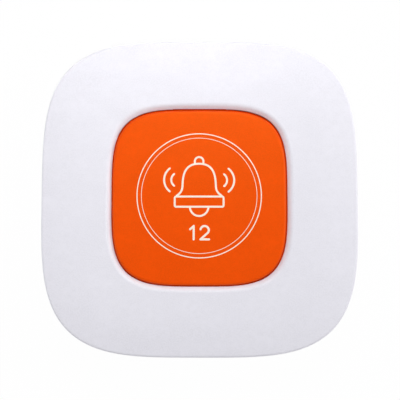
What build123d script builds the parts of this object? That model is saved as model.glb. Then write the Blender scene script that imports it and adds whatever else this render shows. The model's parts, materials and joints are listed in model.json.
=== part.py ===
from build123d import *
from math import atan2, cos, degrees, radians, sin, sqrt
import os

# Wireless table call button, in millimetres.
#
# The device stands on its four feet on z = 0. Its button faces +Z, and -Y is the edge nearest the guest.
# The z axis runs through the middle of the housing, the button, the switch and the coin cell.
#
# Heights are stacked from the table up: foot, battery door, coin cell, contact leaf, circuit board,
# switch, rubber pad, plunger, cap. Plan outlines are bulged squares, each given by three radii, and every
# wall, gap and step between them is a true offset of the housing's outline or of the button's outline.


# ---- Outlines -----------------------------------------------------------------------------------

BUTTON_HALF = 19.2  # half the width across the button's sides
BUTTON_SIDE_R = 115.0  # shallow arc of each side
BUTTON_CORNER_R = 9.8  # arc of each corner
BORDER = 15.8  # button's side to housing's side
SHELL_HALF = BUTTON_HALF + BORDER
SHELL_SIDE_R = 187.0
SHELL_CORNER_R = 18.2

# ---- Housing ------------------------------------------------------------------------------------

EDGE_BANDS = 3  # a rounded edge is this many conical bands
SHOULDER_R = 1.1  # edge between the side and the top
CROWN_REACH = 10.0  # the top slopes down over this width, all round
CROWN_DROP = 0.5
CROWN_BANDS = 2
SHELL_WALL = 2.0
TOP_WALL = 2.4
FLOOR_WALL = 2.0
LOWER_EDGE_R = 3.0  # rounding under the base shell
BASE_HEIGHT = 4.0  # underside to seam
SEAM_STEP = 0.25  # the base stands back by this at the seam
TONGUE_HEIGHT = 1.5
TONGUE_WALL = 1.2
TONGUE_GAP = 0.1  # tongue to the inside of the cover's wall
RIB_T = 1.0
RIB_OFFSET = 10.0  # middle of each side to a rib
RIB_DROP = 1.6  # how far the cover's ribs hang below its ceiling

# ---- Button -------------------------------------------------------------------------------------

BUTTON_GAP = 0.22  # all round, in the opening and in the frame
LIP_R = 1.2  # rolled lip of the opening
BUTTON_EDGE_R = 0.8
BUTTON_TOP_WALL = 1.8
BUTTON_WALL = 1.5
TAB_REACH = 1.3  # how far the four tabs reach out under the lip
TAB_T = 1.2
TAB_LENGTH = 12.0
PLUNGER_R = 3.5
PLUNGER_HEIGHT = 1.3
BUTTON_RIB_T = 1.2
BUTTON_RIB_DEPTH = 1.0
FRAME_WALL = 1.4  # wall round the button, which also clamps the membrane
FRAME_CUT = 8.0  # cut off each inner corner of the frame

# ---- Membrane -----------------------------------------------------------------------------------

MEMBRANE_LEDGE = 0.3  # how far the rim stands out past the frame
MEMBRANE_RIM = 2.3  # width of the rim on the board
MEMBRANE_WEB = 0.7
MEMBRANE_LIFT = 1.4  # free height under the web, for the small parts on the board
SLEEVE_R = 5.4  # sleeve round the switch, closed by the pad
PAD_T = 1.0

# ---- Switch: 6 mm square, side leads ------------------------------------------------------------

SWITCH_HALF = 3.0
SWITCH_BODY_H = 3.25
SWITCH_COVER_T = 0.25
STEM_R = 1.75
STEM_PROUD = 0.8
STEM_FIT = 0.08  # radial gap of the stem in its cover
STEM_FLANGE_R = 2.15
STEM_FLANGE_T = 0.8
WELL_R = 2.3
WELL_FLOOR_T = 1.3
DOME_HALF = 2.0  # half length of the snap leaf
DOME_FLAT_HALF = 0.8
DOME_W = 2.0
DOME_RISE = 0.45
DOME_T = 0.12
STEM_SEAT_GAP = 0.05  # stem to snap leaf
LEAD_T = 0.2
LEAD_W = 0.7
SWITCH_LEAD_PITCH = 4.5
SWITCH_LEAD_REACH = 4.5  # middle of the switch to the tip of a lead
SWITCH_LEAD_H = 0.7

# ---- Coin cell and its contacts -----------------------------------------------------------------

CELL_R = 12.25
CELL_H = 5.0
CELL_CAP_R = 11.3
CELL_RIM_DROP = 0.3  # the can's crimped rim lies below the cap's face
CONTACT_GAP = 1.1  # cell to board
CONTACT_T = 0.2
CONTACT_BEND_R = 0.6
LEAF_W = 4.0
LEAF_FOOT_X = 9.0
LEAF_BEND_X = 5.5
LEAF_TOUCH_X = -1.5
LEAF_TIP_X = -3.6
FINGER_W = 3.0
FINGER_FOOT = 4.4
FINGER_STAND_OFF = 1.9  # upright part of the finger, out from the cell's side
TOUCH_GAP = 0.03

# ---- Battery door -------------------------------------------------------------------------------

DOOR_R = 15.0
DOOR_T = 1.5
DOOR_GAP = 0.2
DOOR_PLAY = 0.1  # flange of the door to the ledge above it
HOOK_GAP = 0.3  # cell to the door's hooks
HOOK_T = 1.0
HOOK_RUN = 0.2  # hooks to the bore of the base
LUG_REACH = 0.85
LUG_T = 1.0
LUG_COUNT = 3
LUG_ANGLE = 30.0
LUG_GAP = 0.15
LEDGE_T = 1.4
TRACK_HEADROOM = 0.2  # the ring stands this much above the lugs
STOP_GAP_ANGLE = 0.6
NOTCH_MARGIN_ANGLE = 2.0
UNLOCK_ANGLE = 40.0
COIN_SLOT_L = 16.0
COIN_SLOT_W = 2.2
COIN_SLOT_DEPTH = 0.8
HOOK_ANGLE = 40.0  # each of the door's hooks, which carry the lugs
RING_WALL = 1.4  # outside the door's recess

# ---- Feet and screws ----------------------------------------------------------------------------

FOOT_PROUD = 1.0
FOOT_R = 4.5
BOSS_INSET = 9.1  # tip of the housing's corner to the middle of a screw, along the diagonal
BOSS_R = 3.0
SCREW_R = 1.1
SCREW_LENGTH = 8.0
SCREW_HEAD_R = 2.0
SCREW_HEAD_T = 1.2
HEAD_GAP = 0.3
THREAD_GAP = 0.03
SCREW_TIP_ROOM = 0.6

# ---- Circuit board and what is on it ------------------------------------------------------------

BOARD_T = 1.0
BOARD_STRIP = 6.3  # width of board outside the frame
BOARD_CORNER_R = 6.0
BOARD_NOTCH_GAP = 0.3
POST_W = 2.4
POST_GAP = 3.2  # battery ring to the middle of a post
CHIP_X = -9.0
CHIP_L = 4.9
CHIP_W = 3.9
CHIP_H = 1.45
CHIP_STANDOFF = 0.1
CHIP_LEADS = 4  # on each side
CHIP_LEAD_PITCH = 1.27
CHIP_LEAD_W = 0.4
CHIP_LEAD_REACH = 3.0
CHIP_LEAD_H = 0.75
SAW_X = 0.0
SAW_HALF = 2.5
SAW_BASE_T = 0.6
SAW_LID_T = 0.7
SAW_LID_INSET = 0.3
TRANSISTOR_X = 7.0
TRANSISTOR_L = 2.9
TRANSISTOR_W = 1.3
TRANSISTOR_H = 1.0
TRANSISTOR_LEAD_REACH = 1.25
TRANSISTOR_LEAD_H = 0.5
TRANSISTOR_LEAD_SPREAD = 0.95
BULK_X = 13.5
BULK_L = 3.5
BULK_W = 2.8
BULK_H = 1.9
BULK_TAPER = 6.0
CHIP_PART_L = 1.6
CHIP_PART_W = 0.8
RESISTOR_H = 0.45
CAPACITOR_H = 0.8
INDUCTOR_H = 1.0
CHIP_PART_PITCH = 2.6
RESISTOR_COUNT = 6
CAPACITOR_COUNT = 5
INDUCTOR_COUNT = 3
CHIP_ROW_Y = 14.0
CHIP_ROW_STEP = 2.4
ANTENNA_W = 1.2
ANTENNA_T = 0.4
ANTENNA_BEND_R = 1.2
ANTENNA_HALF_SPAN = 16.0
ANTENNA_HEIGHT = 2.6
ANTENNA_TAIL = 0.5
ANTENNA_SLOT_GAP = 0.1

# ---- Heights that follow from the stack ---------------------------------------------------------

UNDERSIDE_Z = FOOT_PROUD
HEAD_SEAT_Z = UNDERSIDE_Z + SCREW_HEAD_T
FLOOR_Z = UNDERSIDE_Z + FLOOR_WALL
SEAM_Z = UNDERSIDE_Z + BASE_HEIGHT
CELL_Z = UNDERSIDE_Z + DOOR_T
LEDGE_Z = CELL_Z + DOOR_PLAY
TRACK_Z = LEDGE_Z + LEDGE_T
LUG_TOP_Z = TRACK_Z + LUG_T
RING_TOP_Z = LUG_TOP_Z + TRACK_HEADROOM
CELL_TOP_Z = CELL_Z + CELL_H
BOARD_Z = CELL_TOP_Z + CONTACT_GAP
BOARD_TOP_Z = BOARD_Z + BOARD_T
SWITCH_TOP_Z = BOARD_TOP_Z + SWITCH_BODY_H
COVER_PLATE_Z = SWITCH_TOP_Z + SWITCH_COVER_T
STEM_TOP_Z = COVER_PLATE_Z + STEM_PROUD
PAD_TOP_Z = STEM_TOP_Z + PAD_T
BUTTON_CEILING_Z = PAD_TOP_Z + PLUNGER_HEIGHT
TOP_Z = BUTTON_CEILING_Z + BUTTON_TOP_WALL  # the button and the flat of the cover round it
CEILING_Z = TOP_Z - TOP_WALL
SKIRT_Z = CEILING_Z - TAB_T
WEB_Z = BOARD_TOP_Z + MEMBRANE_LIFT
RIM_TOP_Z = WEB_Z + MEMBRANE_WEB


# ---- Bulged squares -----------------------------------------------------------------------------


def inset(profile, distance):
    """The profile moved inwards by a distance, or outwards by a negative one."""
    return tuple(size - distance for size in profile)


def corner_centre(profile):
    """How far the centre of a corner arc lies from both axes, so that it runs smoothly into the sides."""
    half, side_r, corner_r = profile
    side_centre = half - side_r
    return (side_centre + sqrt(2 * (side_r - corner_r) ** 2 - side_centre**2)) / 2


def corner_reach(profile):
    """From the middle of a bulged square to the tip of its corner."""
    return corner_centre(profile) * sqrt(2) + profile[2]


def bulged_square(profile):
    """Four shallow side arcs and four corner arcs, each tangent to the next."""
    half, side_r, corner_r = profile
    side_centre = half - side_r
    centre = corner_centre(profile)
    turn = degrees(atan2(centre, centre - side_centre))
    side = CenterArc((side_centre, 0), side_r, -turn, 2 * turn)
    corner = CenterArc((centre, centre), corner_r, turn, 90 - 2 * turn)
    return make_face([Rotation(0, 0, 90 * quarter) * arc for quarter in range(4) for arc in (side, corner)])


SHELL = (SHELL_HALF, SHELL_SIDE_R, SHELL_CORNER_R)
BUTTON = (BUTTON_HALF, BUTTON_SIDE_R, BUTTON_CORNER_R)
OPENING = inset(BUTTON, -BUTTON_GAP)
BASE = inset(SHELL, SEAM_STEP)
TONGUE = inset(SHELL, SHELL_WALL + TONGUE_GAP)

# ---- Places that follow from the outlines -------------------------------------------------------

FRAME_HALF = BUTTON_HALF + TAB_REACH + BUTTON_GAP  # inside of the frame
BOSS_XY = (corner_reach(SHELL) - BOSS_INSET) / sqrt(2)
BOARD_HALF = FRAME_HALF + FRAME_WALL + BOARD_STRIP
STRIP_Y = BOARD_HALF - BOARD_STRIP / 2
HOOK_IN_R = CELL_R + HOOK_GAP
HOOK_R = HOOK_IN_R + HOOK_T
BORE_R = HOOK_R + HOOK_RUN
LUG_R = HOOK_R + LUG_REACH
TRACK_R = LUG_R + LUG_GAP
RECESS_R = DOOR_R + DOOR_GAP
RING_R = RECESS_R + RING_WALL
POST_XY = (RING_R + POST_GAP) / sqrt(2)
CORNERS = [(BOSS_XY * i, BOSS_XY * j) for i in (1, -1) for j in (1, -1)]
FINGER_X = -(CELL_R + FINGER_STAND_OFF)


# ---- Simple bodies ------------------------------------------------------------------------------


def prism(profile, low, high):
    """A bulged square stretched from one height to another."""
    return extrude(Pos(0, 0, low) * bulged_square(profile), high - low)


def banded(profile, levels):
    """A bulged square whose outline changes from level to level, each an inset and a height."""
    body = Part()
    for (near, low), (far, high) in zip(levels, levels[1:]):
        lean = degrees(atan2(far - near, high - low))
        body += extrude(Pos(0, 0, low) * bulged_square(inset(profile, near)), high - low, taper=lean)
    return body


def rounding(radius, wall_end_z, up=1, inward=1):
    """Insets and heights along a rounded edge, from the upright wall to the flat."""
    angles = [radians(90 * band / EDGE_BANDS) for band in range(EDGE_BANDS + 1)]
    return [(inward * radius * (1 - cos(angle)), wall_end_z + up * radius * sin(angle)) for angle in angles]


def disc(radius, low, high, at=(0, 0)):
    """A round bar or hole along z."""
    return extrude(Pos(at[0], at[1], low) * Circle(radius), high - low)


def block(size_x, size_y, low, high, at=(0, 0)):
    """A rectangular bar or hole along z."""
    return extrude(Pos(at[0], at[1], low) * Rectangle(size_x, size_y), high - low)


def cut_square(offset, low, high):
    """A square bar with cut corners, moved outwards from the inside of the frame by an offset."""
    side = 2 * (FRAME_HALF + offset)
    cut = FRAME_CUT + (2 - sqrt(2)) * offset
    return extrude(Pos(0, 0, low) * chamfer(Rectangle(side, side).vertices(), cut), high - low)


def sector(inner_r, outer_r, low, high, start, sweep):
    """Part of a ring about the z axis, counter-clockwise from a start angle in degrees."""
    section = Pos((inner_r + outer_r) / 2, (low + high) / 2) * Rectangle(outer_r - inner_r, high - low)
    return Rotation(0, 0, start) * revolve(Plane.XZ * section, Axis.Z, sweep)


def bent_strip(points, bend_r, thickness, width):
    """Sheet strip whose middle follows points (x, z), with its width along y."""
    line = FilletPolyline(*points, radius=bend_r)
    return extrude(Plane.XZ * trace(line, thickness), width / 2, both=True)


def gull_lead(root_x, tip_x, drop, thickness, width):
    """Lead of a surface-mounted part: out of its side at root_x, down, and out along the board to tip_x."""
    low = BOARD_TOP_Z
    near = (root_x + tip_x - thickness) / 2
    far = near + thickness
    outline = Polyline(
        (root_x, low + drop),
        (near, low + drop),
        (near, low),
        (tip_x, low),
        (tip_x, low + thickness),
        (far, low + thickness),
        (far, low + drop + thickness),
        (root_x, low + drop + thickness),
        close=True,
    )
    return extrude(Plane.XZ * make_face(outline), width / 2, both=True)


def group(solids):
    """Several separate solids as one sub-part."""
    return Compound([solid for shape in solids for solid in shape.solids()])


# ---- Housing ------------------------------------------------------------------------------------


def crown_levels():
    """Insets and heights of the cover's top, from its shoulder to the flat round the button."""
    run = CROWN_REACH - SHOULDER_R
    parts = [1 - band / CROWN_BANDS for band in range(CROWN_BANDS + 1)]
    return [(CROWN_REACH - run * part, TOP_Z - CROWN_DROP * part**2) for part in parts]


def top_cover():
    """White upper shell: crowned top, rounded shoulder, rolled lip, button frame, ribs and screw bosses."""
    shoulder = rounding(SHOULDER_R, TOP_Z - CROWN_DROP - SHOULDER_R)
    cover = banded(SHELL, [(0, SEAM_Z)] + shoulder + crown_levels()[1:])
    cover -= prism(inset(SHELL, SHELL_WALL), SEAM_Z, CEILING_Z)
    cover -= banded(OPENING, [(0, CEILING_Z)] + rounding(LIP_R, TOP_Z - LIP_R, inward=-1))
    cover += cut_square(FRAME_WALL, RIM_TOP_Z, CEILING_Z) - cut_square(0, RIM_TOP_Z, CEILING_Z)
    rib_middle = (FRAME_HALF + SHELL_HALF) / 2
    for quarter in range(4):
        for side in (1, -1):
            at = (rib_middle, side * RIB_OFFSET)
            rib = block(SHELL_HALF - FRAME_HALF - SHELL_WALL, RIB_T, CEILING_Z - RIB_DROP, CEILING_Z, at)
            cover += Rotation(0, 0, 90 * quarter) * rib
    for at in CORNERS:
        cover += disc(BOSS_R, FLOOR_Z, CEILING_Z, at)
        cover -= disc(SCREW_R + THREAD_GAP, FLOOR_Z, HEAD_SEAT_Z + SCREW_LENGTH + SCREW_TIP_ROOM, at)
    return cover


def battery_bay():
    """Holes for the coin cell and its door: recess, bore, and the open tracks of the door's lugs."""
    bay = disc(RECESS_R, UNDERSIDE_Z, LEDGE_Z) + disc(BORE_R, LEDGE_Z, RING_TOP_Z)
    notch = LUG_ANGLE + 2 * NOTCH_MARGIN_ANGLE
    track = UNLOCK_ANGLE + LUG_ANGLE + STOP_GAP_ANGLE + NOTCH_MARGIN_ANGLE
    for lug in range(LUG_COUNT):
        open_end = 360 / LUG_COUNT * lug - UNLOCK_ANGLE - LUG_ANGLE / 2 - NOTCH_MARGIN_ANGLE
        bay += sector(CELL_R, TRACK_R, LEDGE_Z, TRACK_Z, open_end, notch)
        bay += sector(CELL_R, TRACK_R, TRACK_Z, RING_TOP_Z, open_end, track)
    return bay


def base_shell():
    """White lower shell: rounded edge, tongue, board posts, ribs, screw holes and battery bay."""
    lower_edge = rounding(LOWER_EDGE_R, UNDERSIDE_Z + LOWER_EDGE_R, up=-1)
    base = banded(BASE, lower_edge[::-1] + [(0, SEAM_Z)])
    base += prism(TONGUE, FLOOR_Z, SEAM_Z + TONGUE_HEIGHT)
    base -= prism(inset(TONGUE, TONGUE_WALL), FLOOR_Z, SEAM_Z + TONGUE_HEIGHT)
    base += disc(RING_R, UNDERSIDE_Z, RING_TOP_Z)
    rib_root = RING_R - RING_WALL / 2
    rib_tip = SHELL_HALF - SHELL_WALL
    for quarter in range(4):
        post = block(POST_W, POST_W, UNDERSIDE_Z, BOARD_Z, (POST_XY, POST_XY))
        rib = block(rib_tip - rib_root, RIB_T, FLOOR_Z, SEAM_Z, ((rib_root + rib_tip) / 2, 0))
        base += Rotation(0, 0, 90 * quarter) * (post + rib)
    for at in CORNERS:
        base -= disc(SCREW_HEAD_R + HEAD_GAP, UNDERSIDE_Z, HEAD_SEAT_Z, at)
        base -= disc(SCREW_R + HEAD_GAP, HEAD_SEAT_Z, FLOOR_Z, at)
    return base - battery_bay()


def rubber_feet():
    """Four self-adhesive rubber discs, which also cover the screw heads."""
    return group(disc(FOOT_R, 0, UNDERSIDE_Z, at) for at in CORNERS)


def housing_screws():
    """Four self-tapping screws from the base up into the cover."""
    screws = []
    for at in CORNERS:
        head = disc(SCREW_HEAD_R, UNDERSIDE_Z, HEAD_SEAT_Z, at)
        screws.append(head + disc(SCREW_R, HEAD_SEAT_Z, HEAD_SEAT_Z + SCREW_LENGTH, at))
    return group(screws)


# ---- Button and membrane ------------------------------------------------------------------------


def button_cap():
    """Orange cap: rounded edge, hollow underside, tabs that keep it under the lip, ribs and a plunger."""
    cap = banded(BUTTON, [(0, SKIRT_Z)] + rounding(BUTTON_EDGE_R, TOP_Z - BUTTON_EDGE_R))
    cap -= prism(inset(BUTTON, BUTTON_WALL), SKIRT_Z, BUTTON_CEILING_Z)
    cap += disc(PLUNGER_R, PAD_TOP_Z, BUTTON_CEILING_Z)
    root = BUTTON_HALF - BUTTON_WALL / 2
    tip = BUTTON_HALF + TAB_REACH
    tab = block(tip - root, TAB_LENGTH, SKIRT_Z, CEILING_Z, ((root + tip) / 2, 0))
    rib = block(root, BUTTON_RIB_T, BUTTON_CEILING_Z - BUTTON_RIB_DEPTH, BUTTON_CEILING_Z, (root / 2, 0))
    for quarter in range(4):
        cap += Rotation(0, 0, 90 * quarter) * (tab + rib)
    return cap


def key_membrane():
    """Silicone diaphragm: clamped rim, flat web, and a sleeve closed by the pad under the plunger."""
    membrane = cut_square(FRAME_WALL + MEMBRANE_LEDGE, BOARD_TOP_Z, RIM_TOP_Z)
    membrane -= cut_square(FRAME_WALL + MEMBRANE_LEDGE - MEMBRANE_RIM, BOARD_TOP_Z, WEB_Z)
    membrane += disc(SLEEVE_R, WEB_Z, PAD_TOP_Z)
    return membrane - disc(SLEEVE_R - MEMBRANE_WEB, BOARD_TOP_Z, STEM_TOP_Z)


# ---- Switch -------------------------------------------------------------------------------------


def switch_body():
    """Black moulded body with a well for the stem."""
    body = block(2 * SWITCH_HALF, 2 * SWITCH_HALF, BOARD_TOP_Z, SWITCH_TOP_Z)
    return body - disc(WELL_R, BOARD_TOP_Z + WELL_FLOOR_T, SWITCH_TOP_Z)


def switch_cover():
    """Steel plate on top of the body, with a round hole for the stem."""
    plate = block(2 * SWITCH_HALF, 2 * SWITCH_HALF, SWITCH_TOP_Z, COVER_PLATE_Z)
    return plate - disc(STEM_R + STEM_FIT, SWITCH_TOP_Z, COVER_PLATE_Z)


def switch_dome():
    """Arched snap leaf on the floor of the well, which gives the click."""
    low = BOARD_TOP_Z + WELL_FLOOR_T
    top = low + DOME_RISE
    outside = [(DOME_FLAT_HALF, top), (DOME_HALF, low)]
    inside = [(DOME_HALF - DOME_T, low), (DOME_FLAT_HALF, top - DOME_T)]
    right_half = outside + inside
    left_half = [(-x, z) for x, z in reversed(right_half)]
    section = make_face(Polyline(*right_half, *left_half, close=True))
    return extrude(Plane.XZ * section, DOME_W / 2, both=True)


def switch_stem():
    """Round stem with a flange that keeps it under the cover plate."""
    low = BOARD_TOP_Z + WELL_FLOOR_T + DOME_RISE + STEM_SEAT_GAP
    return disc(STEM_R, low, STEM_TOP_Z) + disc(STEM_FLANGE_R, low, low + STEM_FLANGE_T)


def switch_terminals():
    """Four leads, bent down to the board on two sides."""
    lead = gull_lead(SWITCH_HALF, SWITCH_LEAD_REACH, SWITCH_LEAD_H, LEAD_T, LEAD_W)
    leads = [Pos(0, side * SWITCH_LEAD_PITCH / 2, 0) * lead for side in (1, -1)]
    return group(leads + [Rotation(0, 0, 180) * lead for lead in leads])


# ---- Coin cell, contacts and battery door -------------------------------------------------------


def coin_cell():
    """CR2450 cell, its negative pole up, which lies on the battery door."""
    return disc(CELL_R, CELL_Z, CELL_TOP_Z - CELL_RIM_DROP) + disc(CELL_CAP_R, CELL_Z, CELL_TOP_Z)


def negative_contact():
    """Spring leaf from the board's underside down to the cell's cap."""
    foot_z = BOARD_Z - CONTACT_T / 2
    touch_z = CELL_TOP_Z + CONTACT_T / 2 + TOUCH_GAP
    tip_z = (foot_z + touch_z) / 2
    points = [(LEAF_FOOT_X, foot_z), (LEAF_BEND_X, foot_z), (LEAF_TOUCH_X, touch_z), (LEAF_TIP_X, tip_z)]
    return bent_strip(points, CONTACT_BEND_R, CONTACT_T, LEAF_W)


def positive_contact():
    """Spring finger from the board's underside down to the side of the cell."""
    foot_z = BOARD_Z - CONTACT_T / 2
    touch_x = -(CELL_R + CONTACT_T / 2 + TOUCH_GAP)
    touch_z = RING_TOP_Z + CONTACT_GAP
    points = [
        (FINGER_X - FINGER_FOOT, foot_z),
        (FINGER_X, foot_z),
        (FINGER_X, (touch_z + BOARD_Z) / 2),
        (touch_x, touch_z),
        (touch_x - CONTACT_BEND_R, RING_TOP_Z + CONTACT_T),
    ]
    return bent_strip(points, CONTACT_BEND_R / 2, CONTACT_T, FINGER_W)


def battery_door():
    """Round door with a coin slot outside, and three hooks inside that centre the cell and carry lugs."""
    door = disc(DOOR_R, UNDERSIDE_Z, CELL_Z)
    for lug in range(LUG_COUNT):
        middle = 360 / LUG_COUNT * lug
        door += sector(HOOK_IN_R, HOOK_R, CELL_Z, LUG_TOP_Z, middle - HOOK_ANGLE / 2, HOOK_ANGLE)
        door += sector(HOOK_IN_R, LUG_R, TRACK_Z, LUG_TOP_Z, middle - LUG_ANGLE / 2, LUG_ANGLE)
    slot = SlotOverall(COIN_SLOT_L, COIN_SLOT_W)
    return door - extrude(Pos(0, 0, UNDERSIDE_Z) * slot, COIN_SLOT_DEPTH)


# ---- Circuit board ------------------------------------------------------------------------------


def circuit_board():
    """Board with notches that fit round the cover's bosses, and two slots for the antenna's legs."""
    outline = RectangleRounded(2 * BOARD_HALF, 2 * BOARD_HALF, BOARD_CORNER_R)
    board = extrude(Pos(0, 0, BOARD_Z) * outline, BOARD_T)
    notch_r = BOSS_R + BOARD_NOTCH_GAP
    for quarter in range(4):
        notch = disc(notch_r, BOARD_Z, BOARD_TOP_Z, (BOSS_XY * sqrt(2), 0))
        notch += block(BOSS_INSET, 2 * notch_r, BOARD_Z, BOARD_TOP_Z, (BOSS_XY * sqrt(2) + BOSS_INSET / 2, 0))
        board -= Rotation(0, 0, 45 + 90 * quarter) * notch
    slot = (ANTENNA_T + 2 * ANTENNA_SLOT_GAP, ANTENNA_W + 2 * ANTENNA_SLOT_GAP)
    for side in (1, -1):
        board -= block(*slot, BOARD_Z, BOARD_TOP_Z, (side * ANTENNA_HALF_SPAN, STRIP_Y))
    return board


def controller_chip():
    """Eight-lead encoder chip."""
    low = BOARD_TOP_Z + CHIP_STANDOFF
    return block(CHIP_W, CHIP_L, low, low + CHIP_H, (CHIP_X, -STRIP_Y))


def chip_leads():
    """Eight leads of the controller chip."""
    lead = gull_lead(CHIP_W / 2, CHIP_LEAD_REACH, CHIP_LEAD_H, LEAD_T, CHIP_LEAD_W)
    leads = []
    for row in range(CHIP_LEADS):
        y = (row - (CHIP_LEADS - 1) / 2) * CHIP_LEAD_PITCH
        leads += [Pos(CHIP_X, y - STRIP_Y, 0) * Rotation(0, 0, half_turn) * lead for half_turn in (0, 180)]
    return group(leads)


def saw_resonator():
    """Ceramic package of the resonator that sets the radio's frequency, with its metal lid."""
    at = (SAW_X, -STRIP_Y)
    base_top = BOARD_TOP_Z + SAW_BASE_T
    lid_size = 2 * (SAW_HALF - SAW_LID_INSET)
    base = block(2 * SAW_HALF, 2 * SAW_HALF, BOARD_TOP_Z, base_top, at)
    return base + block(lid_size, lid_size, base_top, base_top + SAW_LID_T, at)


def rf_transistor():
    """Body of the transmitter's small transistor."""
    low = BOARD_TOP_Z + CHIP_STANDOFF
    return block(TRANSISTOR_L, TRANSISTOR_W, low, low + TRANSISTOR_H, (TRANSISTOR_X, -STRIP_Y))


def transistor_leads():
    """Three leads of the transistor, one on one side and two on the other."""
    lead = gull_lead(TRANSISTOR_W / 2, TRANSISTOR_LEAD_REACH, TRANSISTOR_LEAD_H, LEAD_T / 2, CHIP_LEAD_W)
    places = [(0, 90), (-TRANSISTOR_LEAD_SPREAD, -90), (TRANSISTOR_LEAD_SPREAD, -90)]
    return group(Pos(TRANSISTOR_X + x, -STRIP_Y, 0) * Rotation(0, 0, turn) * lead for x, turn in places)


def bulk_capacitor():
    """Tantalum capacitor beside the transmitter."""
    outline = Pos(BULK_X, -STRIP_Y, BOARD_TOP_Z) * Rectangle(BULK_L, BULK_W)
    return extrude(outline, BULK_H, taper=BULK_TAPER)


def chip_row(count, height, y):
    """A row of small two-ended parts, evenly spaced about the y axis."""
    places = [(CHIP_PART_PITCH * (i - (count - 1) / 2), y) for i in range(count)]
    top = BOARD_TOP_Z + height
    return group(block(CHIP_PART_W, CHIP_PART_L, BOARD_TOP_Z, top, at) for at in places)


def antenna_loop():
    """Tinned strip that stands in two slots of the board."""
    low = BOARD_Z - ANTENNA_TAIL
    high = BOARD_TOP_Z + ANTENNA_HEIGHT
    corners = [(-ANTENNA_HALF_SPAN, low), (-ANTENNA_HALF_SPAN, high), (ANTENNA_HALF_SPAN, high)]
    points = corners + [(ANTENNA_HALF_SPAN, low)]
    return Pos(0, STRIP_Y, 0) * bent_strip(points, ANTENNA_BEND_R, ANTENNA_T, ANTENNA_W)


# ---- Files --------------------------------------------------------------------------------------

SUBPARTS = {
    "top_cover": top_cover,
    "base_shell": base_shell,
    "rubber_feet": rubber_feet,
    "housing_screws": housing_screws,
    "button_cap": button_cap,
    "key_membrane": key_membrane,
    "switch_body": switch_body,
    "switch_cover": switch_cover,
    "switch_dome": switch_dome,
    "switch_stem": switch_stem,
    "switch_terminals": switch_terminals,
    "coin_cell": coin_cell,
    "negative_contact": negative_contact,
    "positive_contact": positive_contact,
    "battery_door": battery_door,
    "circuit_board": circuit_board,
    "controller_chip": controller_chip,
    "chip_leads": chip_leads,
    "saw_resonator": saw_resonator,
    "rf_transistor": rf_transistor,
    "transistor_leads": transistor_leads,
    "bulk_capacitor": bulk_capacitor,
    "chip_resistors": lambda: chip_row(RESISTOR_COUNT, RESISTOR_H, -CHIP_ROW_Y),
    "chip_capacitors": lambda: chip_row(CAPACITOR_COUNT, CAPACITOR_H, -CHIP_ROW_Y + CHIP_ROW_STEP),
    "chip_inductors": lambda: chip_row(INDUCTOR_COUNT, INDUCTOR_H, CHIP_ROW_Y),
    "antenna_loop": antenna_loop,
}

os.makedirs("parts", exist_ok=True)
for node, make in SUBPARTS.items():
    export_step(make(), f"parts/{node}.step")
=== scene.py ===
"""Looks of the waiter call button: rounded shells, printed pictogram, satin plastics, studio."""

import json
import math

import bmesh
import bpy
from mathutils import Matrix, Vector


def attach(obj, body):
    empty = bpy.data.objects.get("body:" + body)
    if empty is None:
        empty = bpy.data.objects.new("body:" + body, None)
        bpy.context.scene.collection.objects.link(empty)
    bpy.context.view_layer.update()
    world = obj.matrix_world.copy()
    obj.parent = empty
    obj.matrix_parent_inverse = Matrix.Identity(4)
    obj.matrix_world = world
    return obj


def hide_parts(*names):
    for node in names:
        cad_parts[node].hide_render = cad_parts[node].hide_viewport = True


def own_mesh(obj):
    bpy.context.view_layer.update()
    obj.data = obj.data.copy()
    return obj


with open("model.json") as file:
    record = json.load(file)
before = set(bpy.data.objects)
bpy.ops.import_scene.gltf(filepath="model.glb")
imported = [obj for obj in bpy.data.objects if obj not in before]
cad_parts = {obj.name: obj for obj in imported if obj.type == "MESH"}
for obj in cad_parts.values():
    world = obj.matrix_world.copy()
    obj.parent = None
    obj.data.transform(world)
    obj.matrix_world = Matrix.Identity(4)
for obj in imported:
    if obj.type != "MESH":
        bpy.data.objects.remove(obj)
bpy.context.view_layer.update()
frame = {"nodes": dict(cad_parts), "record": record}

MM = 0.001

# ---- Outlines, heights and sizes in millimetres -------------------------------------------------
# Most are those of the CAD model. The outlines, the lip, the cover's shoulder and the cap's edge,
# gap and place follow the photo more closely than the solids do.

SHELL = (35.0, 3.72, 1.0)  # half width, exponent of the rounded square, depth as a share of width
BUTTON = (19.1, 3.83, 1.006)
OPENING = (19.465, 3.83, 1.01)
OPENING_SHIFT = Vector((0, 0.065, 0))  # from the middle of the shell
BUTTON_SHIFT = Vector((-0.04, -0.06, 0))  # the cap stands a little off the middle, within its play

UNDERSIDE_Z = 1.0
HEAD_SEAT_Z = 2.2
LEDGE_Z = 2.6
FLOOR_Z = 3.0
TRACK_Z = 4.0
SEAM_Z = 5.0
RING_TOP_Z = 5.2
TONGUE_TOP_Z = 6.5
BOARD_Z = 8.6
BORE_TOP_Z = 10.8
RIM_TOP_Z = 11.7
SKIRT_Z = 14.4
PAD_TOP_Z = 14.9
CEILING_Z = 15.6
BUTTON_CEILING_Z = 16.2
BUTTON_STEP_Z = 16.5
SHOULDER_Z = 16.821
LIP_UNDERCUT_Z = 17.1
CAP_TOP_Z = 17.965
PRINT_TOP_Z = 17.99

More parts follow.
